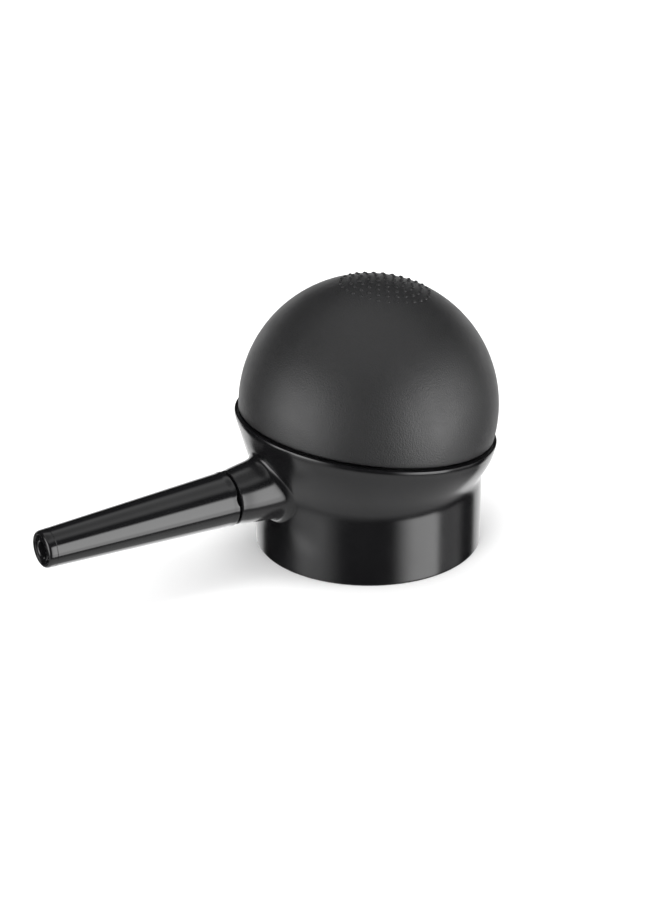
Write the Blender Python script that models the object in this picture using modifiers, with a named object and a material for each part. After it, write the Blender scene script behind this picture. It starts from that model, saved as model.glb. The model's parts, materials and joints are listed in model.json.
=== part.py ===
"""Squeeze-bulb air blower, +Z up, nozzle along -X, in metres.

A rubber dome is clamped into the tilted rim of a moulded pump body. The body has a side stub that a
tapered nozzle pulls off, and an internally threaded skirt. A plate with a one-way intake valve closes
the air chamber above the skirt. The origin is on the base plane, in the middle of the overall box.
"""

import math

import bmesh
import bpy
from mathutils import Matrix, Vector

MM = 0.001

# Rubber dome
BULB_RADIUS = 25.0 * MM
BULB_WALL = 2.0 * MM
BULB_CENTRE_Z = 28.1 * MM
BULB_LEAN = math.radians(8.8)  # the dome's axis leans away from the nozzle
SEAM_DROP = 4.15 * MM  # from the dome's centre to the seam plane, along the dome's axis
COLLAR_RADIUS = 22.7 * MM
COLLAR_WALL = 1.6 * MM
COLLAR_DEPTH = 3.2 * MM

# Pump body
SKIRT_RADIUS = 21.9 * MM
WAIST_Z = 13.5 * MM
RIM_RADIUS = 25.4 * MM
RIM_WALL = 2.25 * MM
RIM_ROUND = 0.5 * MM
FLARE_BLEND = 0.14  # share of the flare's height that the concave blend above the waist takes
FLARE_STRAIGHT = 0.4  # share of the flare's height at which it starts to steepen towards the rim
FLARE_SLOPE = 1.4  # slope of the straight part, where 1 is a cone from the waist to the rim
FLARE_RINGS = 12
POCKET_DEPTH = 3.6 * MM  # the recess under the rim that takes the dome's collar
POCKET_LEDGE = 2.6 * MM
CHAMBER_RADIUS = 19.2 * MM
SHELF_RADIUS = 15.0 * MM
SHELF_Z = 10.3 * MM
SHELF_THICKNESS = 1.2 * MM

# Internal thread of the skirt
THREAD_PITCH = 4.23 * MM
THREAD_TURNS = 1.25
THREAD_START_Z = 2.2 * MM
THREAD_BEAD = 0.9 * MM
THREAD_SUNK = 0.3 * MM  # how far the bead's centre lies inside the wall
THREAD_TURN_STEPS = 36
THREAD_END = 0.4  # size of the bead at its ends, as a share of its full size
THREAD_FADE = 0.1  # growth of the bead in one step

# Stub and nozzle, on one axis along -X
NOZZLE_Z = 16.2 * MM
STUB_ROOT_REACH = 19.0 * MM
STUB_REACH = 31.7 * MM
STUB_FLARE_REACH = 24.9 * MM
STUB_FLARE = 1.2 * MM
SPIGOT_LENGTH = 8.0 * MM
SPIGOT_RADIUS = 3.5 * MM
PORT_RADIUS = 2.2 * MM
NOZZLE_REACH = 71.3 * MM
JOINT_RADIUS = 5.23 * MM
TIP_RADIUS = 3.57 * MM
TIP_BORE = 1.5 * MM
TIP_RECESS = 0.7 * MM
TIP_LIP = 0.6 * MM
TIP_BORE_LENGTH = 4.0 * MM

# Intake valve
PLATE_RADIUS = 18.8 * MM
PLATE_THICKNESS = 1.4 * MM
PORT_HOLE = 2.5 * MM
SEAT_WIDTH = 0.8 * MM
SEAT_HEIGHT = 0.5 * MM
DISC_RADIUS = 4.2 * MM
DISC_THICKNESS = 0.8 * MM
CAGE_RADIUS = 6.4 * MM
CAGE_WALL = 1.2 * MM
CAGE_HEIGHT = 4.0 * MM
CAGE_WINDOW = 3.6 * MM
CAGE_VENT = 1.8 * MM
FILTER_RADIUS = 5.2 * MM
FILTER_THICKNESS = 1.0 * MM
HOLDER_WALL = 1.1 * MM
HOLDER_DEPTH = 1.6 * MM

GASKET_INNER = 15.3 * MM
GASKET_OUTER = 18.9 * MM
GASKET_THICKNESS = 1.1 * MM

RING_WALL = 1.3 * MM
RING_HEIGHT = 3.0 * MM

GAP = 0.3 * MM  # clearance between touching pieces
BEVEL = 0.3 * MM
MERGE = 0.01 * MM
SHARP_ANGLE = math.radians(30)

DOME_STEPS = 64
BODY_STEPS = 64
SMALL_STEPS = 40
NOZZLE_STEPS = 32

SKIRT_X = (NOZZLE_REACH - BULB_RADIUS) / 2  # centres the overall box on the origin
SKIRT_FOOT = Vector((SKIRT_X, 0, 0))
DOME_CENTRE = Vector((SKIRT_X, 0, BULB_CENTRE_Z))
DOME_AXIS = Vector((math.sin(BULB_LEAN), 0, math.cos(BULB_LEAN)))
SEAM_CENTRE = DOME_CENTRE - SEAM_DROP * DOME_AXIS
PLATE_Z = SHELF_Z + SHELF_THICKNESS + GAP


def clear_scene():
    for obj in list(bpy.data.objects):
        bpy.data.objects.remove(obj)


def new_collection(name):
    collection = bpy.data.collections.new(name)
    bpy.context.scene.collection.children.link(collection)
    return collection


def new_material(name, colour, roughness, metallic=0.0):
    material = bpy.data.materials.new(name)
    material.use_nodes = True
    shader = material.node_tree.nodes["Principled BSDF"]
    shader.inputs["Base Color"].default_value = (*colour, 1.0)
    shader.inputs["Roughness"].default_value = roughness
    shader.inputs["Metallic"].default_value = metallic
    return material


def new_object(name, collection, vertices, edges, faces):
    mesh = bpy.data.meshes.new(name)
    mesh.from_pydata(vertices, edges, faces)
    obj = bpy.data.objects.new(name, mesh)
    collection.objects.link(obj)
    return obj


def new_empty(name, collection, location, turn_y=0.0):
    empty = bpy.data.objects.new(name, None)
    empty.location = location
    empty.rotation_euler = (0, turn_y, 0)
    collection.objects.link(empty)
    return empty


def turned(name, collection, profile, steps, parent, material=None):
    """Turn a profile of (radius, height) points about its parent's Z axis.

    The profile runs down the outer side and back up the inner side. One that starts and ends on the
    axis stays open there, and any other is closed into a ring.
    """
    vertices = [(radius, 0, height) for radius, height in profile]
    edges = [(i, i + 1) for i in range(len(profile) - 1)]
    if profile[0][0] > 0:
        edges.append((len(profile) - 1, 0))
    obj = new_object(name, collection, vertices, edges, [])
    screw = obj.modifiers.new("turn", "SCREW")
    screw.steps = steps
    screw.render_steps = steps
    screw.use_merge_vertices = True
    screw.merge_threshold = MERGE
    screw.use_smooth_shade = True
    obj.parent = parent
    if material:
        obj.data.materials.append(material)
    return obj


def loft(name, collection, rings, material=None):
    """A closed solid through a stack of circles, from the top one down.

    Each ring is (centre, radius, tilt), with the tilt about Y. Both end rings are filled.
    """
    vertices = []
    for centre, radius, tilt in rings:
        turn = Matrix.Rotation(tilt, 3, "Y")
        for step in range(BODY_STEPS):
            angle = 2 * math.pi * step / BODY_STEPS
            offset = Vector((radius * math.cos(angle), radius * math.sin(angle), 0))
            vertices.append(centre + turn @ offset)
    faces = [tuple(range(BODY_STEPS))]
    for ring in range(len(rings) - 1):
        for step in range(BODY_STEPS):
            upper = ring * BODY_STEPS
            lower = upper + BODY_STEPS
            after = (step + 1) % BODY_STEPS
            faces.append((upper + after, upper + step, lower + step, lower + after))
    last = (len(rings) - 1) * BODY_STEPS
    faces.append(tuple(last + step for step in reversed(range(BODY_STEPS))))
    obj = new_object(name, collection, vertices, [], faces)
    obj.data.shade_smooth()
    obj.data.set_sharp_from_angle(angle=SHARP_ANGLE)
    if material:
        obj.data.materials.append(material)
    return obj


def box(name, collection, size, centre):
    """An axis-aligned box, for a cutter."""
    shape = bmesh.new()
    bmesh.ops.create_cube(shape, size=1, matrix=Matrix.LocRotScale(centre, None, size))
    mesh = bpy.data.meshes.new(name)
    shape.to_mesh(mesh)
    shape.free()
    obj = bpy.data.objects.new(name, mesh)
    collection.objects.link(obj)
    return obj


def boolean(target, tool, operation):
    modifier = target.modifiers.new(f"{operation.lower()}_{tool.name}", "BOOLEAN")
    modifier.object = tool
    modifier.operation = operation
    tool.hide_render = True
    tool.display_type = "WIRE"


def arc(centre, radius, start, end, count):
    """Points (radius, height) on an arc, with the angles measured from the outward direction."""
    angles = [start + (end - start) * i / count for i in range(count + 1)]
    return [(centre[0] + radius * math.cos(a), centre[1] + radius * math.sin(a)) for a in angles]


def flare_radius(share):
    """The body's radius at a share of the way from the waist to the rim.

    It grows through a tight blend and a straight flare, then steepens evenly up to the rim.
    """
    if share < FLARE_BLEND:
        grown = FLARE_SLOPE * share**2 / (2 * FLARE_BLEND)
    else:
        grown = FLARE_SLOPE * (share - FLARE_BLEND / 2)
    if share > FLARE_STRAIGHT:
        excess = FLARE_SLOPE * (1 - FLARE_BLEND / 2) - 1
        grown -= excess * ((share - FLARE_STRAIGHT) / (1 - FLARE_STRAIGHT)) ** 2
    return SKIRT_RADIUS + (RIM_RADIUS - SKIRT_RADIUS) * grown


def below_seam(depth):
    return SEAM_CENTRE - depth * DOME_AXIS


def outer_rings():
    """The body's outer shape, from the tilted rim down to the flat base."""
    waist = SKIRT_FOOT + Vector((0, 0, WAIST_Z))
    rings = [(SEAM_CENTRE, RIM_RADIUS - RIM_ROUND, BULB_LEAN)]
    for ring in range(FLARE_RINGS):
        share = 1 - ring / FLARE_RINGS
        centre = waist.lerp(below_seam(RIM_ROUND), share)
        rings.append((centre, flare_radius(share), BULB_LEAN * share))
    rings.append((waist, SKIRT_RADIUS, 0.0))
    rings.append((SKIRT_FOOT + Vector((0, 0, BEVEL)), SKIRT_RADIUS, 0.0))
    rings.append((SKIRT_FOOT, SKIRT_RADIUS - BEVEL, 0.0))
    return rings


def chamber_rings():
    """The air chamber with the pocket for the dome's collar, from above the rim down to the shelf."""
    pocket_radius = RIM_RADIUS - RIM_WALL
    shelf_top = SKIRT_FOOT + Vector((0, 0, SHELF_Z + SHELF_THICKNESS))
    ledge_radius = pocket_radius - POCKET_LEDGE
    return [
        (below_seam(-4 * RIM_ROUND), pocket_radius, BULB_LEAN),
        (below_seam(POCKET_DEPTH), pocket_radius, BULB_LEAN),
        (below_seam(POCKET_DEPTH), ledge_radius, BULB_LEAN),
        (shelf_top + Vector((0, 0, PLATE_THICKNESS + GAP)), CHAMBER_RADIUS, 0.0),
        (shelf_top, CHAMBER_RADIUS, 0.0),
    ]


def thread_bead(collection):
    """The helical bead inside the skirt, as a mesh, thinning to a point at both ends."""
    curve = bpy.data.curves.new("thread_path", "CURVE")
    curve.dimensions = "3D"
    curve.bevel_depth = THREAD_BEAD
    curve.bevel_resolution = 1
    curve.use_fill_caps = True
    spline = curve.splines.new("POLY")
    count = round(THREAD_TURN_STEPS * THREAD_TURNS)
    spline.points.add(count)
    for i, point in enumerate(spline.points):
        angle = 2 * math.pi * THREAD_TURNS * i / count
        radius = CHAMBER_RADIUS + THREAD_SUNK
        height = THREAD_START_Z + THREAD_PITCH * THREAD_TURNS * i / count
        place = SKIRT_FOOT + Vector((radius * math.cos(angle), radius * math.sin(angle), height))
        point.co = (*place, 1.0)
        point.radius = min(1.0, THREAD_END + THREAD_FADE * min(i, count - i))
    path = bpy.data.objects.new("thread_path", curve)
    collection.objects.link(path)
    bpy.context.view_layer.update()
    solid = path.evaluated_get(bpy.context.evaluated_depsgraph_get())
    mesh = bpy.data.meshes.new_from_object(solid)
    weld_caps(mesh)
    bead = bpy.data.objects.new("thread_bead", mesh)
    bead.matrix_world = path.matrix_world
    collection.objects.link(bead)
    bpy.data.objects.remove(path)
    return bead


def weld_caps(mesh):
    shape = bmesh.new()
    shape.from_mesh(mesh)
    bmesh.ops.remove_doubles(shape, verts=shape.verts, dist=MERGE)
    bmesh.ops.recalc_face_normals(shape, faces=shape.faces)
    shape.to_mesh(mesh)
    shape.free()


def taper_radius(reach):
    """The shared taper of the stub and the nozzle, at a distance from the skirt's axis."""
    slope = (JOINT_RADIUS - TIP_RADIUS) / (NOZZLE_REACH - STUB_REACH)
    return JOINT_RADIUS + slope * (STUB_REACH - reach)


def stub_profile():
    """The stub and its spigot as (radius, reach) points, from the spigot's end back to the root."""
    end = STUB_REACH + SPIGOT_LENGTH
    return [
        (0, end),
        (SPIGOT_RADIUS - BEVEL, end),
        (SPIGOT_RADIUS, end - BEVEL),
        (SPIGOT_RADIUS, STUB_REACH),
        (JOINT_RADIUS - BEVEL / 2, STUB_REACH),
        (JOINT_RADIUS, STUB_REACH - BEVEL),
        (taper_radius(STUB_FLARE_REACH), STUB_FLARE_REACH),
        (taper_radius(STUB_FLARE_REACH) + 0.25 * STUB_FLARE, STUB_FLARE_REACH - 0.5 * STUB_FLARE),
        (taper_radius(STUB_FLARE_REACH) + STUB_FLARE, STUB_FLARE_REACH - 1.3 * STUB_FLARE),
        (taper_radius(STUB_FLARE_REACH) + STUB_FLARE, STUB_ROOT_REACH + GAP),
        (0, STUB_ROOT_REACH + GAP),
    ]


def make_pump_body(parts, cutters, axis, foot, material):
    body = loft("pump_body", parts, outer_rings(), material)
    boolean(body, turned("stub", cutters, stub_profile(), NOZZLE_STEPS, axis), "UNION")
    boolean(body, loft("chamber", cutters, chamber_rings()), "DIFFERENCE")
    skirt_hollow = [
        (0, SHELF_Z),
        (CHAMBER_RADIUS, SHELF_Z),
        (CHAMBER_RADIUS, BEVEL),
        (CHAMBER_RADIUS + 2 * BEVEL, -BEVEL),
        (0, -BEVEL),
    ]
    boolean(body, turned("skirt_hollow", cutters, skirt_hollow, BODY_STEPS, foot), "DIFFERENCE")
    shelf_hole = [
        (0, SHELF_Z + 2 * SHELF_THICKNESS),
        (SHELF_RADIUS, SHELF_Z + 2 * SHELF_THICKNESS),
        (SHELF_RADIUS, SHELF_Z - SHELF_THICKNESS),
        (0, SHELF_Z - SHELF_THICKNESS),
    ]
    boolean(body, turned("shelf_hole", cutters, shelf_hole, BODY_STEPS, foot), "DIFFERENCE")
    air_port = [
        (0, STUB_REACH + 2 * SPIGOT_LENGTH),
        (PORT_RADIUS, STUB_REACH + 2 * SPIGOT_LENGTH),
        (PORT_RADIUS, STUB_ROOT_REACH - PORT_RADIUS),
        (0, STUB_ROOT_REACH - PORT_RADIUS),
    ]
    boolean(body, turned("air_port", cutters, air_port, SMALL_STEPS, axis), "DIFFERENCE")
    boolean(body, thread_bead(cutters), "UNION")
    return body


def make_bulb(parts, centre, material):
    """The dome, its collar in the rim's pocket, and an even wall, open below."""
    inner_radius = BULB_RADIUS - BULB_WALL
    foot = -SEAM_DROP + GAP
    seam_angle = math.asin(foot / BULB_RADIUS)
    mouth_angle = math.asin(foot / inner_radius)
    outside = arc((0, 0), BULB_RADIUS, math.pi / 2, seam_angle, 14)
    inside = arc((0, 0), inner_radius, mouth_angle, math.pi / 2, 11)
    outside[0] = (0, BULB_RADIUS)
    inside[-1] = (0, inner_radius)
    collar_foot = -SEAM_DROP - COLLAR_DEPTH
    collar = [
        (COLLAR_RADIUS, foot),
        (COLLAR_RADIUS, collar_foot + BEVEL),
        (COLLAR_RADIUS - BEVEL, collar_foot),
        (COLLAR_RADIUS - COLLAR_WALL, collar_foot),
        (COLLAR_RADIUS - COLLAR_WALL, -SEAM_DROP),
    ]
    return turned("bulb", parts, [*outside, *collar, *inside], DOME_STEPS, centre, material)


def make_retaining_ring(parts, centre, material):
    """The ring inside the collar that holds it in the rim."""
    outer = COLLAR_RADIUS - COLLAR_WALL - GAP
    inner = outer - RING_WALL
    foot = -SEAM_DROP - COLLAR_DEPTH
    top = foot + RING_HEIGHT
    profile = [
        (outer - BEVEL, top),
        (outer, top - BEVEL),
        (outer, foot),
        (inner, foot),
        (inner, top - BEVEL),
        (inner + BEVEL, top),
    ]
    return turned("bulb_retaining_ring", parts, profile, BODY_STEPS, centre, material)


def make_valve_plate(parts, foot, material):
    """The plate over the shelf, with the raised seat of the intake port and the filter holder below."""
    top = PLATE_Z + PLATE_THICKNESS
    holder = FILTER_RADIUS + GAP
    profile = [
        (PORT_HOLE + SEAT_WIDTH, top + SEAT_HEIGHT),
        (PORT_HOLE + SEAT_WIDTH, top),
        (PLATE_RADIUS - BEVEL, top),
        (PLATE_RADIUS, top - BEVEL),
        (PLATE_RADIUS, PLATE_Z),
        (holder + HOLDER_WALL, PLATE_Z),
        (holder + HOLDER_WALL, PLATE_Z - HOLDER_DEPTH),
        (holder, PLATE_Z - HOLDER_DEPTH),
        (holder, PLATE_Z),
        (PORT_HOLE, PLATE_Z),
        (PORT_HOLE, top + SEAT_HEIGHT),
    ]
    return turned("valve_plate", parts, profile, BODY_STEPS, foot, material)


def make_valve_disc(parts, seat, material):
    profile = [
        (0, DISC_THICKNESS),
        (DISC_RADIUS - BEVEL, DISC_THICKNESS),
        (DISC_RADIUS, DISC_THICKNESS - BEVEL),
        (DISC_RADIUS, 0),
        (0, 0),
    ]
    return turned("intake_valve_disc", parts, profile, SMALL_STEPS, seat, material)


def make_valve_cage(parts, cutters, foot, material):
    """A cap over the valve disc, with two crossing slots that leave four windows, and a vent on top."""
    low = PLATE_Z + PLATE_THICKNESS + GAP
    top = low + CAGE_HEIGHT
    inner = CAGE_RADIUS - CAGE_WALL
    profile = [
        (CAGE_VENT, top),
        (CAGE_RADIUS - 2 * BEVEL, top),
        (CAGE_RADIUS, top - 2 * BEVEL),
        (CAGE_RADIUS, low),
        (inner, low),
        (inner, top - CAGE_WALL),
        (CAGE_VENT, top - CAGE_WALL),
    ]
    cage = turned("valve_cage", parts, profile, SMALL_STEPS, foot, material)
    window_height = CAGE_HEIGHT - 2 * CAGE_WALL
    middle = SKIRT_FOOT + Vector((0, 0, low + CAGE_HEIGHT / 2))
    long_way = 3 * CAGE_RADIUS
    windows = {
        "window_along_x": Vector((long_way, CAGE_WINDOW, window_height)),
        "window_along_y": Vector((CAGE_WINDOW, long_way, window_height)),
    }
    for name, size in windows.items():
        boolean(cage, box(name, cutters, size, middle), "DIFFERENCE")
    return cage


def make_filter(parts, foot, material):
    top = PLATE_Z - GAP
    profile = [
        (0, top),
        (FILTER_RADIUS, top),
        (FILTER_RADIUS, top - FILTER_THICKNESS),
        (0, top - FILTER_THICKNESS),
    ]
    return turned("intake_filter", parts, profile, SMALL_STEPS, foot, material)


def make_gasket(parts, foot, material):
    top = SHELF_Z - GAP
    profile = [
        (GASKET_OUTER, top),
        (GASKET_OUTER, top - GASKET_THICKNESS),
        (GASKET_INNER, top - GASKET_THICKNESS),
        (GASKET_INNER, top),
    ]
    return turned("neck_gasket", parts, profile, BODY_STEPS, foot, material)


def make_nozzle(parts, joint, material):
    """The tapered tube: a socket over the stub's spigot, then a bore out to the recessed tip."""
    length = NOZZLE_REACH - STUB_REACH
    socket = SPIGOT_LENGTH + GAP
    socket_radius = SPIGOT_RADIUS + GAP
    profile = [
        (TIP_RADIUS - TIP_LIP, length),
        (TIP_RADIUS - BEVEL, length),
        (TIP_RADIUS, length - BEVEL),
        (JOINT_RADIUS, GAP + BEVEL),
        (JOINT_RADIUS - BEVEL / 2, GAP),
        (socket_radius, GAP),
        (socket_radius, socket),
        (PORT_RADIUS, socket),
        (TIP_BORE, length - TIP_BORE_LENGTH),
        (TIP_BORE, length - TIP_RECESS),
        (TIP_RADIUS - TIP_LIP, length - TIP_RECESS),
    ]
    return turned("nozzle", parts, profile, NOZZLE_STEPS, joint, material)


def build():
    clear_scene()
    parts = new_collection("dust_blower_bulb")
    cutters = new_collection("cutters")
    guides = new_collection("axes")
    foot = new_empty("skirt_axis", guides, SKIRT_FOOT)
    dome = new_empty("dome_axis", guides, DOME_CENTRE, BULB_LEAN)
    towards_tip = -math.pi / 2
    nozzle_line = SKIRT_FOOT + Vector((0, 0, NOZZLE_Z))
    stub = new_empty("stub_axis", guides, nozzle_line, towards_tip)
    joint = new_empty("nozzle_joint", guides, nozzle_line - Vector((STUB_REACH, 0, 0)), towards_tip)
    seat_top = PLATE_Z + PLATE_THICKNESS + SEAT_HEIGHT + GAP
    seat = new_empty("valve_seat", guides, SKIRT_FOOT + Vector((0, 0, seat_top)))

    gloss_black = new_material("gloss_black_plastic", (0.012, 0.012, 0.013), 0.18)
    nozzle_black = new_material("gloss_black_nozzle", (0.014, 0.014, 0.015), 0.16)
    bulb_rubber = new_material("matte_black_rubber", (0.022, 0.022, 0.023), 0.62)
    ring_plastic = new_material("dark_grey_plastic", (0.06, 0.06, 0.06), 0.4)
    plate_plastic = new_material("grey_plastic", (0.16, 0.16, 0.17), 0.4)
    cage_plastic = new_material("white_plastic", (0.7, 0.7, 0.68), 0.35)
    disc_rubber = new_material("red_silicone", (0.45, 0.06, 0.04), 0.5)
    filter_felt = new_material("white_felt", (0.75, 0.74, 0.7), 0.9)
    gasket_rubber = new_material("grey_rubber", (0.2, 0.2, 0.2), 0.7)

    make_pump_body(parts, cutters, stub, foot, gloss_black)
    make_bulb(parts, dome, bulb_rubber)
    make_retaining_ring(parts, dome, ring_plastic)
    make_valve_plate(parts, foot, plate_plastic)
    make_valve_disc(parts, seat, disc_rubber)
    make_valve_cage(parts, cutters, foot, cage_plastic)
    make_filter(parts, foot, filter_felt)
    make_gasket(parts, foot, gasket_rubber)
    make_nozzle(parts, joint, nozzle_black)
    bpy.context.view_layer.update()


build()
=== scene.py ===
import json
import math

import bmesh
import bpy
from bpy.props import FloatProperty, FloatVectorProperty, IntProperty, PointerProperty
from bpy.types import Operator, Panel, PropertyGroup
from mathutils import Matrix, Vector


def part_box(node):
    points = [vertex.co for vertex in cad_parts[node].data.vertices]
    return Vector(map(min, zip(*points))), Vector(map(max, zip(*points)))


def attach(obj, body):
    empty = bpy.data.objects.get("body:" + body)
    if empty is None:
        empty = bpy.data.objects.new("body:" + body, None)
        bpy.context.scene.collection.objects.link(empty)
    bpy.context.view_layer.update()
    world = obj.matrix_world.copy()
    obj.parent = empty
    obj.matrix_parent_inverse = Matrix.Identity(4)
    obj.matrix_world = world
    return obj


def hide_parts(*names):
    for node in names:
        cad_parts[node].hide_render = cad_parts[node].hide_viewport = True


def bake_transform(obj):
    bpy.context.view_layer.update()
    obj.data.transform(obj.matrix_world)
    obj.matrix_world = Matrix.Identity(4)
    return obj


bl_info = {
    "name": "Dust Blower Bulb",
    "version": (1, 0, 0),
    "blender": (4, 5, 0),
    "location": "View3D > Sidebar > Blower",
    "description": "Finished surfaces of a squeeze-bulb dust blower, built round its packed frame",
    "category": "Add Mesh",
}

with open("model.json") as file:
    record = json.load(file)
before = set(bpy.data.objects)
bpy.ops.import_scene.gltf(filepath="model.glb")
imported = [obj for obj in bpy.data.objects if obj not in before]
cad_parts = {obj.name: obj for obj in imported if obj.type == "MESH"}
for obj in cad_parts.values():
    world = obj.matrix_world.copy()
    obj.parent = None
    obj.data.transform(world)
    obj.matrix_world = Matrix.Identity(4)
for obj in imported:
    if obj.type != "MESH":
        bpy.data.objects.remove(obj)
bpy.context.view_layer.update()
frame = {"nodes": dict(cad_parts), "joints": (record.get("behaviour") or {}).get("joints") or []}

MM = 0.001
SMOOTH_ANGLE = math.radians(35)
MERGE = 0.002 * MM  # points closer than this are made one
SAME_PLACE = 0.01 * MM  # tolerance for selecting by place


# ---------------------------------------------------------------- places, read from the frame


def joint(name):
    return next(j for j in frame["joints"] if j["name"] == name)


BULB_LOW, BULB_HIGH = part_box("bulb")
BODY_LOW, BODY_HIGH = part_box("pump_body")
NOZZLE_LOW, NOZZLE_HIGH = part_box("nozzle")

DOME_RADIUS = (BULB_HIGH.y - BULB_LOW.y) / 2
AXIS_X = BULB_HIGH.x - DOME_RADIUS
DOME_CENTRE = Vector((AXIS_X, 0, BULB_HIGH.z - DOME_RADIUS))
DOME_AXIS = -Vector(joint("bulb_squeeze")["axis"]).normalized()
LEAN = math.atan2(DOME_AXIS.x, DOME_AXIS.z)
SEAM_Z = joint("bulb_squeeze")["deforming_nodes"][0]["fixed_end_z_m"]
SEAM_CENTRE = DOME_CENTRE - DOME_AXIS * ((DOME_CENTRE.z - SEAM_Z) / DOME_AXIS.z)
SEAM_DROP = (DOME_CENTRE - SEAM_CENTRE).length
RIM_RADIUS = (BODY_HIGH.y - BODY_LOW.y) / 2
NOZZLE_Z = (NOZZLE_LOW.z + NOZZLE_HIGH.z) / 2
JOINT_RADIUS = (NOZZLE_HIGH.z - NOZZLE_LOW.z) / 2
JOINT_X = NOZZLE_HIGH.x
TIP_X = NOZZLE_LOW.x
SPIGOT_X = BODY_LOW.x


# ---------------------------------------------------------------- settings


def length(name, description, default):
    return FloatProperty(
        name=name, description=description, default=default, unit="LENGTH", precision=5
    )


def angle(name, description, degrees):
    return FloatProperty(
        name=name, description=description, default=math.radians(degrees), subtype="ANGLE"
    )


def colour(name, description, default):
    return FloatVectorProperty(
        name=name, description=description, default=default, subtype="COLOR", size=3, min=0, max=1
    )


def share(name, description, default):
    return FloatProperty(
        name=name, description=description, default=default, subtype="FACTOR", min=0, max=1
    )


class DomeSettings(PropertyGroup):
    segments: IntProperty(name="Segments", description="Faces round the dome", default=128, min=16)
    wall: length("Wall", "Thickness of the rubber", 2.0 * MM)
    collar_radius: length("Collar radius", "Outside of the collar inside the rim", 22.7 * MM)
    collar_depth: length("Collar depth", "How far the collar reaches below the seam", 3.2 * MM)
    seam_gap: length("Seam gap", "Height of the dome's edge over the seam plane", 0.66 * MM)
    edge_round: length("Edge rounding", "Rounding of the dome's lower edge", 0.25 * MM)
    dot_pitch: length("Dot pitch", "Distance between grip dots", 1.75 * MM)
    dot_radius: length("Dot radius", "Radius of one grip dot", 0.42 * MM)
    dot_height: length("Dot height", "How far a grip dot stands proud", 0.26 * MM)
    dot_rings: IntProperty(name="Dot rings", description="Rings of dots round the pole", default=5, min=1)
    rubber: colour("Rubber", "Colour of the rubber", (0.0125, 0.0125, 0.013))
    roughness: share("Roughness", "Roughness of the rubber", 0.47)


class BodySettings(PropertyGroup):
    segments: IntProperty(name="Segments", description="Cage faces round the body", default=48, min=24)
    skirt_radius: length("Skirt radius", "Outside of the straight skirt", 21.9 * MM)
    waist: length("Waist height", "Where the skirt starts to flare", 13.5 * MM)
    flare_blend: share("Flare blend", "Share of the flare taken by the concave blend", 0.28)
    flare_straight: share("Flare straight", "Share of the flare where it starts to steepen", 0.4)
    flare_slope: FloatProperty(
        name="Flare slope", description="Slope of the straight flare, where 1 is a plain cone", default=1.5
    )
    rim_lift: length("Rim lift", "How far the rim's top stands over the seam plane", 0.2 * MM)
    pocket_radius: length("Pocket radius", "Inside of the rim, round the collar", 23.15 * MM)
    pocket_depth: length("Pocket depth", "Depth of the ledge below the rim", 3.6 * MM)
    bore_radius: length("Bore radius", "Inside of the skirt", 19.2 * MM)
    shelf: length("Shelf height", "Underside of the shelf inside the skirt", 10.3 * MM)
    shelf_radius: length("Shelf radius", "Hole through the shelf", 15.0 * MM)
    thread_pitch: length("Thread pitch", "Rise of the skirt's thread in one turn", 4.23 * MM)
    spigot_radius: length("Spigot radius", "Outside of the spigot that holds the nozzle", 3.5 * MM)
    port_radius: length("Port radius", "Bore of the stub", 2.2 * MM)
    plastic: colour("Plastic", "Colour of the body", (0.006, 0.006, 0.0065))
    roughness: share("Roughness", "Roughness of the plastic", 0.16)


class NozzleSettings(PropertyGroup):
    segments: IntProperty(name="Segments", description="Faces round the nozzle", default=96, min=16)
    tip_radius: length("Tip radius", "Outside of the tip", 3.57 * MM)
    tip_bore: length("Tip bore", "Hole at the tip", 1.5 * MM)
    tip_recess: length("Tip recess", "Depth of the tip's end face inside its lip", 0.3 * MM)
    tip_lip: length("Tip lip", "Width of the lip round the tip", 0.6 * MM)
    tip_round: length("Tip rounding", "Rounding between the nozzle's side and its end", 0.56 * MM)
    edge_round: length("Edge rounding", "Rounding of the nozzle's edges", 0.1 * MM)
    notch_depth: length("Notch depth", "Depth of the notch in the base edge", 0.6 * MM)
    notch_turn: angle("Notch turn", "Where the notch sits, measured round the nozzle from its top", -70)
    plastic: colour("Plastic", "Colour of the nozzle", (0.006, 0.006, 0.0065))
    roughness: share("Roughness", "Roughness of the plastic", 0.1)


class InnerSettings(PropertyGroup):
    plate: colour("Plate", "Colour of the valve plate", (0.16, 0.16, 0.17))
    cage: colour("Cage", "Colour of the valve cage", (0.7, 0.7, 0.68))
    ring: colour("Ring", "Colour of the retaining ring", (0.06, 0.06, 0.06))
    disc: colour("Disc", "Colour of the valve disc", (0.45, 0.06, 0.04))
    felt: colour("Felt", "Colour of the filter", (0.75, 0.74, 0.7))
    gasket: colour("Gasket", "Colour of the gasket", (0.2, 0.2, 0.2))


class StageSettings(PropertyGroup):
    floor: colour("Floor", "Colour of the floor", (0.9, 0.9, 0.9))
    backdrop: colour("Backdrop", "Colour behind the object", (1.0, 1.0, 1.0))
    distance: length("Distance", "From the camera to the point that it looks at", 0.6)
    azimuth: angle("Azimuth", "Camera's turn round the object", -32.5)
    elevation: angle("Elevation", "Camera's height angle", 25.4)
    lens: FloatProperty(name="Lens", description="Focal length in millimetres", default=124.9, min=10)


# ---------------------------------------------------------------- modelling helpers


def deselect_all():
    bpy.ops.object.select_all(action="DESELECT")


def start_piece(name):
    """Names the object that a primitive operator has just added, and applies its transform."""
    piece = bpy.context.object
    piece.name = name
    piece.data.name = name
    bpy.ops.object.transform_apply(location=True, rotation=True, scale=True)
    return piece


def select_only(piece):
    deselect_all()
    piece.select_set(True)
    bpy.context.view_layer.objects.active = piece


def edit(piece):
    select_only(piece)
    bpy.ops.object.mode_set(mode="EDIT")
    bpy.ops.mesh.select_all(action="DESELECT")


def leave_edit():
    bpy.ops.object.mode_set(mode="OBJECT")


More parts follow.
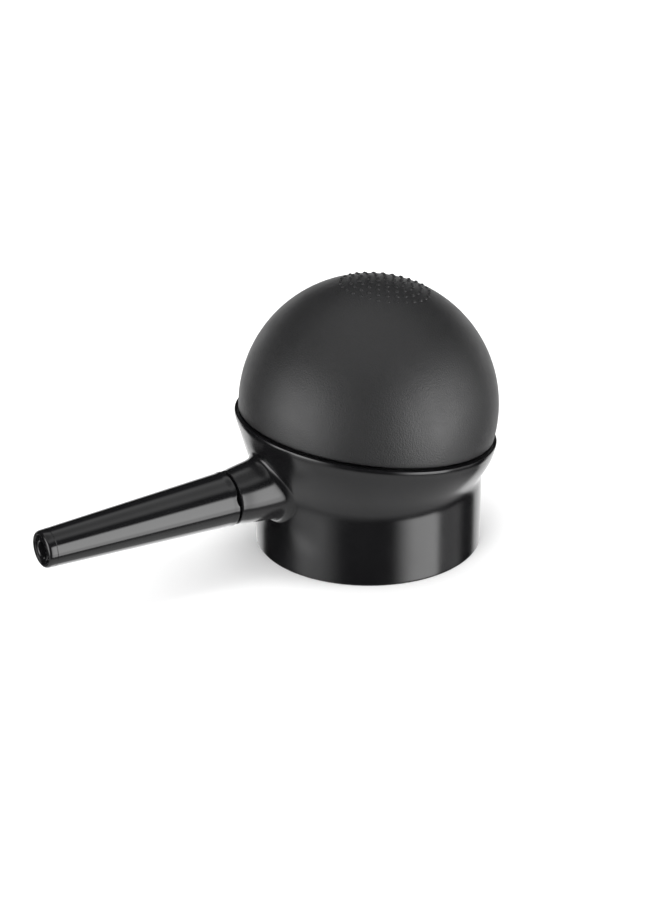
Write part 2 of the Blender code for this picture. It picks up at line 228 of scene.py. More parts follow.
def apply_modifier(piece, kind, **values):
    select_only(piece)
    modifier = piece.modifiers.new(kind.lower(), kind)
    for key, value in values.items():
        setattr(modifier, key, value)
    bpy.ops.object.modifier_apply(modifier=modifier.name)


def cut(piece, tool, operation="DIFFERENCE"):
    apply_modifier(piece, "BOOLEAN", object=tool, operation=operation, solver="EXACT")
    bpy.data.objects.remove(tool)


def smooth(piece):
    select_only(piece)
    bpy.ops.object.shade_smooth_by_angle(angle=SMOOTH_ANGLE)


def face_out():
    """In edit mode: merges doubles and turns every face outwards."""
    bpy.ops.mesh.select_all(action="SELECT")
    bpy.ops.mesh.remove_doubles(threshold=MERGE)
    bpy.ops.mesh.normals_make_consistent(inside=False)
    bpy.ops.mesh.select_all(action="DESELECT")


def settle(piece, place):
    """Moves a piece modelled at the origin to its place, and applies that to its mesh."""
    select_only(piece)
    piece.matrix_world = place
    bpy.ops.object.transform_apply(location=True, rotation=True, scale=True)


class RingPen:
    """Draws a wall by extruding a ring from one circle to the next, in edit mode."""

    def __init__(self, name, sides, radius, centre, tilt=0.0):
        deselect_all()
        bpy.ops.mesh.primitive_circle_add(
            vertices=sides, radius=radius, location=centre, rotation=(0, tilt, 0)
        )
        self.piece = start_piece(name)
        bpy.ops.object.mode_set(mode="EDIT")
        bpy.ops.mesh.select_all(action="SELECT")
        self.radius = radius
        self.centre = Vector(centre)
        self.tilt = tilt

    def to(self, radius, centre, tilt=0.0):
        """Extrudes the selected ring, then sizes, tilts and moves the new one."""
        bpy.ops.mesh.extrude_edges_move()
        size = radius / self.radius
        bpy.ops.transform.resize(value=(size,) * 3, center_override=self.centre)
        if tilt != self.tilt:
            turn = self.tilt - tilt
            bpy.ops.transform.rotate(value=turn, orient_axis="Y", center_override=self.centre)
        bpy.ops.transform.translate(value=Vector(centre) - self.centre)
        self.radius = radius
        self.centre = Vector(centre)
        self.tilt = tilt

    def close(self):
        """Joins the last ring to the first one, and turns the faces outwards."""
        bpy.ops.mesh.select_all(action="DESELECT")
        bpy.ops.mesh.select_non_manifold()
        bpy.ops.mesh.bridge_edge_loops()
        face_out()
        leave_edit()
        return self.piece


def turned(name, sides, stops):
    """A ring-shaped solid turned about Z from (radius, height) stops."""
    pen = RingPen(name, sides, stops[0][0], (0, 0, stops[0][1]))
    for radius, height in stops[1:]:
        pen.to(radius, (0, 0, height))
    return pen.close()


# ---------------------------------------------------------------- materials


class Paint:
    """A Principled material with helpers that add and link nodes."""

    def __init__(self, name, roughness, specular=0.5):
        self.material = bpy.data.materials.new(name)
        self.material.use_nodes = True
        self.tree = self.material.node_tree
        self.shader = self.tree.nodes["Principled BSDF"]
        self.shader.inputs["Roughness"].default_value = roughness
        self.shader.inputs["Specular IOR Level"].default_value = specular
        self.coords = self.tree.nodes.new("ShaderNodeTexCoord").outputs["Object"]

    def add(self, kind, **values):
        node = self.tree.nodes.new(kind)
        for key, value in values.items():
            if key in node.inputs:
                node.inputs[key].default_value = value
            else:
                setattr(node, key, value)
        return node

    def link(self, source, target):
        self.tree.links.new(source, target)

    def noise(self, scale, detail=3.0, roughness=0.5):
        node = self.add("ShaderNodeTexNoise", Scale=scale, Detail=detail, Roughness=roughness)
        self.link(self.coords, node.inputs["Vector"])
        return node.outputs["Fac"]

    def ranged(self, source, low, high, start=0.3, end=0.7):
        """Spreads a noise, which mostly runs from start to end, between low and high."""
        node = self.add("ShaderNodeMapRange")
        self.link(source, node.inputs["Value"])
        values = {"From Min": start, "From Max": end, "To Min": low, "To Max": high}
        for key, value in values.items():
            node.inputs[key].default_value = value
        return node.outputs["Result"]

    def mixed_colour(self, source, low, high):
        """Colours the material between two tints, by a source that runs from 0 to 1."""
        node = self.add("ShaderNodeMix", data_type="RGBA")
        self.link(source, node.inputs["Factor"])
        colours = [socket for socket in node.inputs if socket.type == "RGBA"]
        for socket, tint in zip(colours, (low, high)):
            socket.default_value = (*tint, 1)
        result = next(socket for socket in node.outputs if socket.type == "RGBA")
        self.link(result, self.shader.inputs["Base Color"])

    def rough(self, source):
        self.link(source, self.shader.inputs["Roughness"])

    def bump(self, source, strength, distance):
        """Adds one layer of relief over the last one."""
        node = self.add("ShaderNodeBump", Strength=strength, Distance=distance)
        self.link(source, node.inputs["Height"])
        before = self.shader.inputs["Normal"]
        if before.is_linked:
            self.link(before.links[0].from_socket, node.inputs["Normal"])
        self.link(node.outputs["Normal"], before)


def scaled(tint, factor):
    return tuple(min(1.0, channel * factor) for channel in tint)


def gloss_plastic(name, tint, roughness):
    """Polished moulded plastic: faint flow marks, soft ripple and a few handling smears."""
    paint = Paint(name, roughness)
    clouds = paint.noise(90, detail=4)
    paint.mixed_colour(paint.ranged(clouds, 0, 1), scaled(tint, 0.8), scaled(tint, 1.35))
    smears = paint.noise(140, detail=6, roughness=0.65)
    paint.rough(paint.ranged(smears, roughness * 0.85, roughness * 1.35))
    paint.bump(paint.noise(260, detail=2), 0.03, 0.05 * MM)
    paint.bump(paint.noise(2600, detail=2), 0.03, 0.01 * MM)
    return paint.material


def matte_rubber(name, tint, roughness):
    """Moulded rubber with a fine eroded grain and slight bloom."""
    paint = Paint(name, roughness)
    bloom = paint.noise(60, detail=5)
    paint.mixed_colour(paint.ranged(bloom, 0, 1), scaled(tint, 0.92), scaled(tint, 1.1))
    paint.rough(paint.ranged(paint.noise(240, detail=4), roughness * 0.94, roughness * 1.08))
    paint.bump(paint.noise(3200, detail=2, roughness=0.6), 0.8, 0.08 * MM)
    return paint.material


def satin_plastic(name, tint):
    """Moulded plastic with a satin, slightly uneven finish."""
    roughness = 0.38
    paint = Paint(name, roughness)
    clouds = paint.noise(160, detail=4)
    paint.mixed_colour(paint.ranged(clouds, 0, 1), scaled(tint, 0.9), scaled(tint, 1.08))
    paint.rough(paint.ranged(paint.noise(420, detail=3), roughness * 0.85, roughness * 1.2))
    paint.bump(paint.noise(1800, detail=3), 0.15, 0.02 * MM)
    return paint.material


def felt(name, tint):
    """Pressed felt: short crossed fibres over soft lumps."""
    paint = Paint(name, 0.95, specular=0.2)
    fibres = paint.noise(2400, detail=8, roughness=0.75)
    paint.mixed_colour(paint.ranged(fibres, 0, 1, 0.35, 0.65), scaled(tint, 0.78), scaled(tint, 1.06))
    paint.bump(paint.noise(500, detail=4), 0.5, 0.1 * MM)
    paint.bump(fibres, 0.7, 0.06 * MM)
    return paint.material


def dress(piece, material):
    piece.data.materials.clear()
    piece.data.materials.append(material)


# ---------------------------------------------------------------- the dome

DOTS_PER_RING = 6  # how many dots each ring has more than the one inside it


class BLOWER_OT_dome(Operator):
    """Rubber dome with its collar and the rings of grip dots on its crown"""

    bl_idname = "blower.dome"
    bl_label = "Rubber Dome"

    def execute(self, context):
        settings = context.scene.blower_dome
        dome = self.shell(settings)
        self.add_dots(dome, settings)
        smooth(dome)
        settle(dome, Matrix.Translation(DOME_CENTRE) @ Matrix.Rotation(LEAN, 4, "Y"))
        dress(dome, matte_rubber("bulb_rubber", settings.rubber, settings.roughness))
        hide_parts("bulb")
        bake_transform(dome)
        return {"FINISHED"}

    def shell(self, settings):
        """A sphere cut at the seam, drawn in and down into the collar, with an even wall."""
        deselect_all()
        bpy.ops.mesh.primitive_uv_sphere_add(
            segments=settings.segments, ring_count=settings.segments // 2, radius=DOME_RADIUS
        )
        dome = start_piece("rubber_dome")
        edit(dome)
        foot = settings.seam_gap - SEAM_DROP
        bpy.ops.mesh.select_all(action="SELECT")
        bpy.ops.mesh.bisect(
            plane_co=(0, 0, foot), plane_no=(0, 0, 1), clear_inner=True, threshold=SAME_PLACE
        )
        bpy.ops.mesh.select_all(action="DESELECT")
        bpy.ops.mesh.select_non_manifold()
        edge_radius = math.sqrt(DOME_RADIUS**2 - foot**2)
        neck = settings.collar_radius / edge_radius
        centre = Vector((0, 0, foot))
        bpy.ops.mesh.extrude_edges_move()
        bpy.ops.transform.resize(value=(neck, neck, 1), center_override=centre)
        bpy.ops.mesh.extrude_edges_move()
        bpy.ops.transform.translate(value=(0, 0, -SEAM_DROP - settings.collar_depth - foot))
        leave_edit()
        self.round_edge(dome, edge_radius, foot, settings.edge_round)
        apply_modifier(dome, "SOLIDIFY", thickness=settings.wall, offset=-1, thickness_clamp=0.5)
        return dome

    def round_edge(self, dome, radius, height, width):
        """Bevels the outer edge of the dome's foot."""

        def on_edge(point):
            return abs(point.z - height) < SAME_PLACE and point.xy.length > radius - SAME_PLACE

        edit(dome)
        mesh = bmesh.from_edit_mesh(dome.data)
        for edge in mesh.edges:
            edge.select = all(on_edge(vert.co) for vert in edge.verts)
        mesh.select_flush_mode()
        bmesh.update_edit_mesh(dome.data)
        bpy.ops.mesh.bevel(offset=width, segments=4, affect="EDGES")
        leave_edit()

    def add_dots(self, dome, settings):
        """Models one dot, copies it round rings that are a pitch apart, and joins all to the dome."""
        deselect_all()
        bpy.ops.mesh.primitive_uv_sphere_add(
            segments=8, ring_count=6, radius=settings.dot_radius, location=(0, 0, 0)
        )
        dot = start_piece("grip_dot")
        height = DOME_RADIUS + settings.dot_height - settings.dot_radius
        dots = []
        for ring in range(settings.dot_rings + 1):
            count = max(1, DOTS_PER_RING * ring)
            polar = ring * settings.dot_pitch / DOME_RADIUS
            for step in range(count):
                turn = 2 * math.pi * step / count
                place = Matrix.Rotation(turn, 4, "Z") @ Matrix.Rotation(polar, 4, "Y")
                copy = dot.copy()
                copy.data = dot.data.copy()
                bpy.context.collection.objects.link(copy)
                copy.matrix_world = place @ Matrix.Translation((0, 0, height))
                dots.append(copy)
        bpy.data.objects.remove(dot)
        deselect_all()
        for copy in dots:
            copy.select_set(True)
        bpy.context.view_layer.objects.active = dots[0]
        bpy.ops.object.join()
        cluster = bpy.context.object
        cut(dome, cluster, "UNION")


# ---------------------------------------------------------------- the pump body

# The patch that is opened in the wall for the stub: half its side, and the circle drawn round it.
PATCH_HALF = 8.8 * MM
PATCH_CIRCLE = 8.0 * MM
# The stub's fillet in millimetres, from the wall outwards: radius, and how far proud of the wall.
FILLET = [(7.45, 0), (7.15, 0.03), (6.8, 0.22), (6.4, 0.65), (6.08, 1.3)]

PORT_OVERSHOOT = 2 * MM  # how far the port's cutter starts outside the spigot
PORT_END = 17 * MM  # where it ends inside the chamber, from the skirt's axis

THREAD_TURNS = 1.25
THREAD_STEPS = 150
THREAD_BEAD = 0.9 * MM
THREAD_SUNK = 0.3 * MM  # how far the bead's middle lies inside the wall
THREAD_START = 2.2 * MM
THREAD_FADE = 0.05  # how much the bead grows at each step from its end
THREAD_END = 0.4  # the bead's size at its ends, as a share


class BLOWER_OT_body(Operator):
    """Pump body: threaded skirt, flare, tilted rim, and the side stub with its spigot"""

    bl_idname = "blower.body"
    bl_label = "Pump Body"

    def execute(self, context):
        settings = context.scene.blower_body
        self.settings = settings
        self.fullness = 3 / (2 + math.cos(2 * math.pi / settings.segments))
        body = self.wall()
        self.draw_stub(body)
        apply_modifier(body, "SUBSURF", levels=2, render_levels=2)
        cut(body, self.thread(), "UNION")
        cut(body, self.port())
        smooth(body)
        settle(body, Matrix.Translation((AXIS_X, 0, 0)))
        dress(body, gloss_plastic("gloss_body", settings.plastic, settings.roughness))
        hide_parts("pump_body")
        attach(body, "pump")
        return {"FINISHED"}

    def seam(self, depth):
        """A point on the dome's axis, at a depth below the seam, from the skirt's foot."""
        return SEAM_CENTRE - depth * DOME_AXIS - Vector((AXIS_X, 0, 0))

    def flare(self, level):
        """Radius, centre and tilt of the outer wall, from 0 at the waist to 1 at the rim."""
        s = self.settings
        if level < s.flare_blend:
            grown = s.flare_slope * level**2 / (2 * s.flare_blend)
        else:
            grown = s.flare_slope * (level - s.flare_blend / 2)
        if level > s.flare_straight:
            excess = s.flare_slope * (1 - s.flare_blend / 2) - 1
            grown -= excess * ((level - s.flare_straight) / (1 - s.flare_straight)) ** 2
        radius = s.skirt_radius + (RIM_RADIUS - s.skirt_radius) * grown
        centre = Vector((0, 0, s.waist)).lerp(self.seam(0), level)
        return radius, centre, LEAN * level

    def wall(self):
        """The cage of the wall, ring by ring: up the outside, over the rim and down the inside.

        Heights are in millimetres from the foot, and depths in millimetres below the seam.
        """
        s = self.settings
        k = self.fullness

        def up(radius, height):
            return radius * k, (0, 0, height * MM), 0.0

        def down(radius, depth):
            return radius * k, self.seam(depth * MM), LEAN

        skirt, bore, hole, pocket = s.skirt_radius, s.bore_radius, s.shelf_radius, s.pocket_radius
        shelf = s.shelf / MM
        ledge = s.pocket_depth / MM
        top = -s.rim_lift / MM

        # Foot, skirt and flare
        pen = RingPen("pump_shell", s.segments, (skirt - 0.7 * MM) * k, (0, 0, 0))
        for radius, height in [(skirt - 0.15 * MM, 0), (skirt, 0.15), (skirt, 0.6), (skirt, 2.8)]:
            pen.to(*up(radius, height))
        for height in (5.3, 7.8, 10.4, 12.6):
            pen.to(*up(skirt, height))
        for level in (0.0, 0.14, 0.28, 0.4, 0.52, 0.64, 0.76, 0.88):
            radius, centre, tilt = self.flare(level)
            pen.to(radius * k, centre, tilt)

        # Rim, pocket for the collar, and its ledge
        for depth in (0.45, top + 0.2, top + 0.05):
            pen.to(*down(RIM_RADIUS, depth))
        pen.to(*down(RIM_RADIUS - 0.05 * MM, top))
        pen.to(*down(pocket + 0.2 * MM, top))
        for depth in (top + 0.2, 1.0, 3.1):
            pen.to(*down(pocket, depth))
        for radius in (pocket - 0.3 * MM, pocket - 2.3 * MM):
            pen.to(*down(radius, ledge))
        pen.to(*down(pocket - 2.6 * MM, ledge + 0.4))

        # Chamber, shelf and threaded bore
        for radius, height in [(bore, shelf + 4.2), (bore, shelf + 1.7), (bore - 0.4 * MM, shelf + 1.2)]:
            pen.to(*up(radius, height))
        for radius, height in [(hole + 0.2 * MM, shelf + 1.2), (hole, shelf + 1.0), (hole, shelf + 0.2)]:
            pen.to(*up(radius, height))
        for radius, height in [(hole + 0.2 * MM, shelf), (bore - 0.3 * MM, shelf), (bore, shelf - 0.3)]:
            pen.to(*up(radius, height))
        for radius, height in [(bore, 5.5), (bore, 1.0), (bore, 0.6), (bore + 0.45 * MM, 0.12)]:
            pen.to(*up(radius, height))
        pen.to(*up(bore + 0.65 * MM, 0))
        return pen.close()

    def wall_x(self, y, z):
        """The outer wall's x on the nozzle side, at a given y and z, on the cage."""
        s = self.settings
        if z <= s.waist:
            return -math.sqrt((s.skirt_radius * self.fullness) ** 2 - y * y)
        low, high = 0.0, 1.0
        for _ in range(30):
            level = (low + high) / 2
            radius, centre, tilt = self.flare(level)
            across = math.sqrt((radius * self.fullness) ** 2 - y * y)
            if centre.z + across * math.sin(tilt) < z:
                low = level
            else:
                high = level
        return centre.x - across * math.cos(tilt)

    def draw_stub(self, body):
        """Opens a patch in the wall, and draws the fillet, the stub and the spigot out of it."""
        edit(body)
        mesh = bmesh.from_edit_mesh(body.data)
        for face in mesh.faces:
            p = face.calc_center_median()
            faces_out = face.normal.xy.dot(p.xy) > 0.9 * p.xy.length
            in_patch = p.x < 0 and abs(p.y) < PATCH_HALF and abs(p.z - NOZZLE_Z) < PATCH_HALF
            face.select = faces_out and in_patch
        bmesh.update_edit_mesh(body.data)
        bpy.ops.mesh.delete(type="FACE")
        bpy.ops.mesh.select_non_manifold()
        count = len(self.selected(body))
        fullness = 3 / (2 + math.cos(2 * math.pi / count))
        self.hug_wall(body, PATCH_CIRCLE, 0)
        for radius, proud in FILLET:
            bpy.ops.mesh.extrude_edges_move()
            self.hug_wall(body, radius * MM * fullness, proud * MM)
        reach = AXIS_X - JOINT_X
        spigot = self.settings.spigot_radius
        end = AXIS_X - SPIGOT_X
        rings = [  # radius, and distance from the skirt's axis
            (5.75 * MM, reach - 4.0 * MM),
            (5.5 * MM, reach - 2.4 * MM),
            (JOINT_RADIUS, reach - 1.0 * MM),
            (JOINT_RADIUS, reach - 0.72 * MM),
            (JOINT_RADIUS - 0.14 * MM, reach - 0.57 * MM),
            (JOINT_RADIUS - 0.5 * MM, reach - 0.55 * MM),
            (spigot + 0.2 * MM, reach - 0.55 * MM),
            (spigot, reach - 0.35 * MM),
            (spigot, reach + 0.6 * MM),
            (spigot, end - 1.2 * MM),
            (spigot - 0.1 * MM, end - 0.3 * MM),
            (spigot - 0.4 * MM, end),
            (0.8 * MM, end),
        ]
        for radius, out in rings:
            bpy.ops.mesh.extrude_edges_move()
            self.round_ring(body, radius * fullness, -out)
        bpy.ops.mesh.edge_face_add()
        face_out()
        leave_edit()

    def selected(self, body):
        mesh = bmesh.from_edit_mesh(body.data)
        return [v for v in mesh.verts if v.select]

    def hug_wall(self, body, radius, proud):
        """Spreads the selected ring evenly on a circle about the stub's axis, on the wall."""
        ring = self.selected(body)
        ring.sort(key=lambda v: math.atan2(v.co.z - NOZZLE_Z, v.co.y))
        count = len(ring)
        start = math.atan2(ring[0].co.z - NOZZLE_Z, ring[0].co.y)
        first = round(start / (2 * math.pi / count))
        for i, v in enumerate(ring):
            angle = 2 * math.pi * (first + i) / count
            y, z = radius * math.cos(angle), NOZZLE_Z + radius * math.sin(angle)
            v.co = (self.wall_x(y, z) - proud, y, z)
        bmesh.update_edit_mesh(body.data)

    def round_ring(self, body, radius, x):
        """Sets the selected ring on an upright circle about the stub's axis."""
        for v in self.selected(body):
            out = Vector((v.co.y, v.co.z - NOZZLE_Z)).normalized() * radius
            v.co = (x, out.x, NOZZLE_Z + out.y)
        bmesh.update_edit_mesh(body.data)

    def port(self):
        """The air port's cutter, from past the spigot's end into the chamber."""
        deselect_all()
        start = SPIGOT_X - AXIS_X - PORT_OVERSHOOT
        end = -PORT_END
        bpy.ops.mesh.primitive_cylinder_add(
            vertices=48,
            radius=self.settings.port_radius,
            depth=end - start,
            location=((start + end) / 2, 0, NOZZLE_Z),
            rotation=(0, math.pi / 2, 0),
        )
        return start_piece("port_cutter")

    def thread(self):
        """The skirt's thread: a rounded bead on a helix that fades out at both ends."""
        s = self.settings
        curve = bpy.data.curves.new("thread", "CURVE")
        curve.dimensions = "3D"
        curve.bevel_depth = THREAD_BEAD
        curve.bevel_resolution = 3
        curve.use_fill_caps = True
        spline = curve.splines.new("POLY")
        spline.points.add(THREAD_STEPS)
        radius = s.bore_radius + THREAD_SUNK
        for i, point in enumerate(spline.points):
            turns = THREAD_TURNS * i / THREAD_STEPS
            turn = 2 * math.pi * turns
            height = THREAD_START + s.thread_pitch * turns
            point.co = (radius * math.cos(turn), radius * math.sin(turn), height, 1)
            from_end = min(i, THREAD_STEPS - i)
            point.radius = min(1.0, THREAD_END + THREAD_FADE * from_end)
        path = bpy.data.objects.new("thread", curve)
        bpy.context.collection.objects.link(path)
        select_only(path)
        bpy.ops.object.convert(target="MESH")
        bead = bpy.context.object
        edit(bead)
        face_out()
        leave_edit()
        return bead


# ---------------------------------------------------------------- the nozzle

BASE_LIP = 0.06 * MM  # the thin lip round the base edge
GROOVE_FROM_TIP = 1.65 * MM
GROOVE_DEPTH = 0.06 * MM
SOCKET_DEPTH = 8.3 * MM
PUSH_FIT = 0.3 * MM  # gap between the spigot and its socket
BORE_RADIUS = 2.2 * MM
NOTCH_RADIUS = 2.2 * MM
NOTCH_WIDTH = 2.4 * MM


class BLOWER_OT_nozzle(Operator):
    """Tapered nozzle with its socket, base lip, ring groove and recessed tip"""

    bl_idname = "blower.nozzle"
    bl_label = "Nozzle"

    def execute(self, context):
        s = context.scene.blower_nozzle
        span = JOINT_X - TIP_X
        slope = (s.tip_radius - JOINT_RADIUS) / span

        def taper(height):
            return JOINT_RADIUS + slope * height

        groove = span - GROOVE_FROM_TIP
        inner = s.tip_radius - s.tip_lip
        spigot = context.scene.blower_body.spigot_radius
        face = span - s.tip_recess
        stops = [
            (JOINT_RADIUS - BASE_LIP, 0),
            (JOINT_RADIUS + BASE_LIP, 0.14 * MM),
            (JOINT_RADIUS + BASE_LIP, 0.6 * MM),
            (taper(1.0 * MM), 1.0 * MM),
            *[(taper(part * span), part * span) for part in (0.04, 0.2, 0.35, 0.5, 0.65, 0.8, 0.93)],
            (taper(groove - 0.3 * MM), groove - 0.3 * MM),
            (taper(groove - 0.09 * MM), groove - 0.09 * MM),
            (taper(groove) - GROOVE_DEPTH, groove - 0.03 * MM),
            (taper(groove) - GROOVE_DEPTH, groove + 0.03 * MM),
            (taper(groove + 0.09 * MM), groove + 0.09 * MM),
            (taper(groove + 0.3 * MM), groove + 0.3 * MM),
            (taper(span - 0.72 * MM), span - 0.72 * MM),
            *[self.round_off(s.tip_radius, span, s.tip_round, turn) for turn in range(0, 91, 18)],
            (inner, span),
            (inner - 0.1 * MM, face),
            (s.tip_bore + 0.75 * MM, face),
            (s.tip_bore + 0.62 * MM, face + 0.15 * MM),
            (s.tip_bore + 0.2 * MM, face + 0.15 * MM),
            (s.tip_bore, face),
            (s.tip_bore, span - 4 * MM),
            (BORE_RADIUS, SOCKET_DEPTH + 0.7 * MM),
            (BORE_RADIUS, SOCKET_DEPTH),
            (spigot + PUSH_FIT, SOCKET_DEPTH),
            (spigot + PUSH_FIT, 0),
        ]
        nozzle = turned("tapered_nozzle", s.segments, stops)
        sharp = math.radians(50)
        apply_modifier(
            nozzle, "BEVEL", width=s.edge_round, segments=3, limit_method="ANGLE", angle_limit=sharp
        )
        cut(nozzle, self.notch(s))
        smooth(nozzle)
        place = Matrix.Translation((JOINT_X, 0, NOZZLE_Z)) @ Matrix.Rotation(-math.pi / 2, 4, "Y")
        settle(nozzle, place)
        dress(nozzle, gloss_plastic("gloss_nozzle", s.plastic, s.roughness))
        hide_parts("nozzle")
        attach(nozzle, "nozzle")
        return {"FINISHED"}

    def round_off(self, radius, span, corner, degrees):
        """A stop on the quarter round between the nozzle's side and its end."""
        turn = math.radians(degrees)
        return radius - corner * (1 - math.cos(turn)), span - corner * (1 - math.sin(turn))

    def notch(self, settings):
        """The cutter of the scoop in the nozzle's base edge, in which a nail lifts it off the stub."""
        deselect_all()
        bpy.ops.mesh.primitive_cylinder_add(vertices=48, radius=NOTCH_RADIUS, depth=NOTCH_WIDTH)
        cutter = start_piece("notch_cutter")
        lie = Matrix.Rotation(math.pi / 2, 4, "Y")
        place = Matrix.Translation((JOINT_RADIUS, 0, settings.notch_depth - NOTCH_RADIUS))
        settle(cutter, Matrix.Rotation(settings.notch_turn, 4, "Z") @ place @ lie)
        return cutter


# ---------------------------------------------------------------- the parts inside


class BLOWER_OT_inner_parts(Operator):
    """Finishes for the retaining ring and the valve's parts"""

    bl_idname = "blower.inner_parts"
    bl_label = "Inner Parts"

    def execute(self, context):
        s = context.scene.blower_inner
        finishes = {
            "valve_plate": satin_plastic("plate_plastic", s.plate),
            "valve_cage": satin_plastic("cage_plastic", s.cage),
            "bulb_retaining_ring": satin_plastic("ring_plastic", s.ring),
            "intake_valve_disc": matte_rubber("valve_rubber", s.disc, 0.45),
            "intake_filter": felt("filter_felt", s.felt),
            "neck_gasket": matte_rubber("gasket_rubber", s.gasket, 0.6),
        }
        for node, material in finishes.items():
            dress(frame["nodes"][node], material)
        return {"FINISHED"}


# ---------------------------------------------------------------- the stage

CAMERA_LOOKS_AT = Vector((AXIS_X - 0.007683, 0.001719, 0.019439))
LAMPS_AIM_AT = Vector((0, 0, 0.02))


def softbox(azimuth, elevation, glow, both_sides=False):
    """A window of light: its low and high edge in degrees, and half the fade at each.

    Azimuth runs to the camera's right from the side where the camera stands.
    """
    return {"azimuth": azimuth, "elevation": elevation, "glow": glow, "both_sides": both_sides}


SOFTBOXES = {
    "right panel": softbox((36, 76, 14, 4), (-34, 25, 3, 5), 5.3),
    "right panel, upper": softbox((36, 76, 14, 4), (-19, 25, 4, 5), 1.9),
    "right wing": softbox((76, 108, 4, 8), (-31, 0, 3, 10), 0.75),
    "right wing, upper": softbox((76, 105, 4, 10), (-6, 25, 6, 6), 3.0),
    "left panel": softbox((-78, -38, 10, 16), (-40, 25, 6, 6), 1.25),
    "left panel, upper": softbox((-86, -42, 8, 16), (-19, 25, 8, 6), 5.0),
    "ceiling": softbox((-200, 200, 1, 1), (52, 68, 8, 8), 1.25),
    "zenith": softbox((-200, 200, 1, 1), (68, 100, 8, 1), 0.55),
    "table": softbox((-200, 200, 1, 1), (-100, -43, 1, 9), 1.0),
    "backdrop": softbox((137, 200, 5, 1), (-75, 4, 8, 4), 1.7, both_sides=True),
}


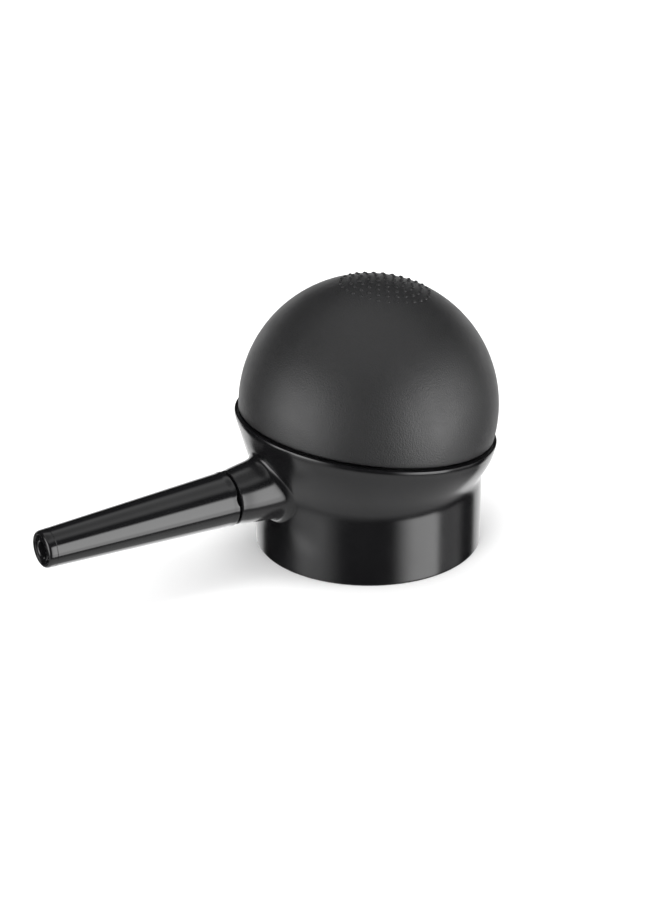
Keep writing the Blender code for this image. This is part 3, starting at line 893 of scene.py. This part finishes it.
class BLOWER_OT_stage(Operator):
    """Pale floor, soft lights, a room of softboxes and the camera"""

    bl_idname = "blower.stage"
    bl_label = "Stage"

    def execute(self, context):
        settings = context.scene.blower_stage
        self.add_floor(settings)
        self.add_world(context, settings)
        self.add_lights()
        self.add_camera(context, settings)
        context.scene.view_settings.view_transform = "Standard"
        return {"FINISHED"}

    def add_floor(self, settings):
        deselect_all()
        bpy.ops.mesh.primitive_plane_add(size=6, location=(0, 0, 0))
        floor = start_piece("floor")
        paint = Paint("floor_paper", 0.9, specular=0.1)
        clouds = paint.noise(9, detail=5)
        paint.mixed_colour(paint.ranged(clouds, 0, 1), scaled(settings.floor, 0.985), settings.floor)
        dress(floor, paint.material)
        floor.visible_glossy = False

    def add_world(self, context, settings):
        """White surroundings, in which glossy surfaces see a dark room with softboxes."""
        world = bpy.data.worlds.new("studio")
        world.use_nodes = True
        world.cycles.sampling_method = "NONE"
        tree = world.node_tree
        self.tree = tree
        direction = tree.nodes.new("ShaderNodeTexCoord").outputs["Generated"]
        turn = settings.azimuth
        side = self.dot(direction, (math.cos(turn), math.sin(turn), 0))
        front = self.dot(direction, (math.sin(turn), -math.cos(turn), 0))
        azimuth = self.math("ARCTAN2", side, front)
        elevation = self.math("ARCSINE", self.dot(direction, (0, 0, 1)))
        either_way = self.math("ABSOLUTE", azimuth)
        total = None
        for name, box in SOFTBOXES.items():
            across = either_way if box["both_sides"] else azimuth
            glow = self.math(
                "MULTIPLY",
                self.window(across, *box["azimuth"]),
                self.window(elevation, *box["elevation"]),
            )
            glow = self.math("MULTIPLY", glow, box["glow"])
            glow.node.label = name
            total = glow if total is None else self.math("ADD", total, glow)
        background = tree.nodes["Background"]
        background.inputs["Color"].default_value = (*settings.backdrop, 1)
        background.inputs["Strength"].default_value = 1.0
        room = tree.nodes.new("ShaderNodeBackground")
        tree.links.new(total, room.inputs["Strength"])
        mix = tree.nodes.new("ShaderNodeMixShader")
        ray = tree.nodes.new("ShaderNodeLightPath")
        tree.links.new(ray.outputs["Is Glossy Ray"], mix.inputs["Fac"])
        tree.links.new(background.outputs["Background"], mix.inputs[1])
        tree.links.new(room.outputs["Background"], mix.inputs[2])
        tree.links.new(mix.outputs["Shader"], tree.nodes["World Output"].inputs["Surface"])
        context.scene.world = world

    def dot(self, vector, axis):
        node = self.tree.nodes.new("ShaderNodeVectorMath")
        node.operation = "DOT_PRODUCT"
        self.tree.links.new(vector, node.inputs[0])
        node.inputs[1].default_value = axis
        return node.outputs["Value"]

    def math(self, operation, first, second=0.0):
        node = self.tree.nodes.new("ShaderNodeMath")
        node.operation = operation
        for socket, value in zip(node.inputs, (first, second)):
            if isinstance(value, float):
                socket.default_value = value
            else:
                self.tree.links.new(value, socket)
        return node.outputs["Value"]

    def window(self, angle, low, high, fade_in, fade_out):
        """1 between two angles in degrees, and 0 outside them, with soft edges."""
        edges = []
        for centre, fade, sign in [(low, fade_in, 1), (high, fade_out, -1)]:
            node = self.tree.nodes.new("ShaderNodeMapRange")
            node.interpolation_type = "SMOOTHSTEP"
            self.tree.links.new(angle, node.inputs["Value"])
            node.inputs["From Min"].default_value = math.radians(centre - sign * fade)
            node.inputs["From Max"].default_value = math.radians(centre + sign * fade)
            edges.append(node.outputs["Result"])
        return self.math("MULTIPLY", *edges)

    def add_lights(self):
        """Disks of light round the object: place, width and power."""
        lights = {
            "key": ((-0.5, -0.35, 0.6), 0.5, 3.0),
            "fill": ((0.55, -0.45, 0.45), 0.4, 2.0),
            "top": ((0.0, 0.1, 0.9), 0.6, 3.0),
        }
        for name, (place, size, power) in lights.items():
            data = bpy.data.lights.new(name, "AREA")
            data.shape = "DISK"
            data.size = size
            data.energy = power
            lamp = bpy.data.objects.new(name, data)
            lamp.visible_glossy = False
            lamp.location = place
            aim = LAMPS_AIM_AT - Vector(place)
            lamp.rotation_euler = aim.to_track_quat("-Z", "Y").to_euler()
            bpy.context.collection.objects.link(lamp)

    def add_camera(self, context, settings):
        data = bpy.data.cameras.new("camera")
        data.lens = settings.lens
        data.sensor_width = 36
        data.clip_start = 0.01
        camera = bpy.data.objects.new("camera", data)
        turn, tilt = settings.azimuth, settings.elevation
        level = Vector((math.sin(turn), -math.cos(turn), 0))
        towards = level * math.cos(tilt) + Vector((0, 0, math.sin(tilt)))
        camera.location = CAMERA_LOOKS_AT + towards * settings.distance
        camera.rotation_euler = (math.pi / 2 - tilt, 0, turn)
        context.collection.objects.link(camera)
        context.scene.camera = camera


# ---------------------------------------------------------------- panel and registration


class VIEW3D_PT_blower(Panel):
    """Builds the blower's finished pieces"""

    bl_label = "Dust Blower"
    bl_idname = "VIEW3D_PT_blower"
    bl_space_type = "VIEW_3D"
    bl_region_type = "UI"
    bl_category = "Blower"

    def draw(self, context):
        for operator in OPERATORS:
            self.layout.operator(operator.bl_idname)
        for group in GROUPS:
            settings = getattr(context.scene, group)
            box = self.layout.box()
            for name in settings.__annotations__:
                box.prop(settings, name)


OPERATORS = (BLOWER_OT_stage, BLOWER_OT_dome, BLOWER_OT_body, BLOWER_OT_nozzle, BLOWER_OT_inner_parts)
GROUPS = {
    "blower_dome": DomeSettings,
    "blower_body": BodySettings,
    "blower_nozzle": NozzleSettings,
    "blower_inner": InnerSettings,
    "blower_stage": StageSettings,
}


def register():
    for group, settings in GROUPS.items():
        bpy.utils.register_class(settings)
        setattr(bpy.types.Scene, group, PointerProperty(type=settings))
    for operator in OPERATORS:
        bpy.utils.register_class(operator)
    bpy.utils.register_class(VIEW3D_PT_blower)


def unregister():
    bpy.utils.unregister_class(VIEW3D_PT_blower)
    for operator in reversed(OPERATORS):
        bpy.utils.unregister_class(operator)
    for group, settings in GROUPS.items():
        delattr(bpy.types.Scene, group)
        bpy.utils.unregister_class(settings)


def main():
    register()
    bpy.ops.blower.stage()
    bpy.ops.blower.dome()
    bpy.ops.blower.body()
    bpy.ops.blower.nozzle()
    bpy.ops.blower.inner_parts()


if __name__ == "__main__":
    main()
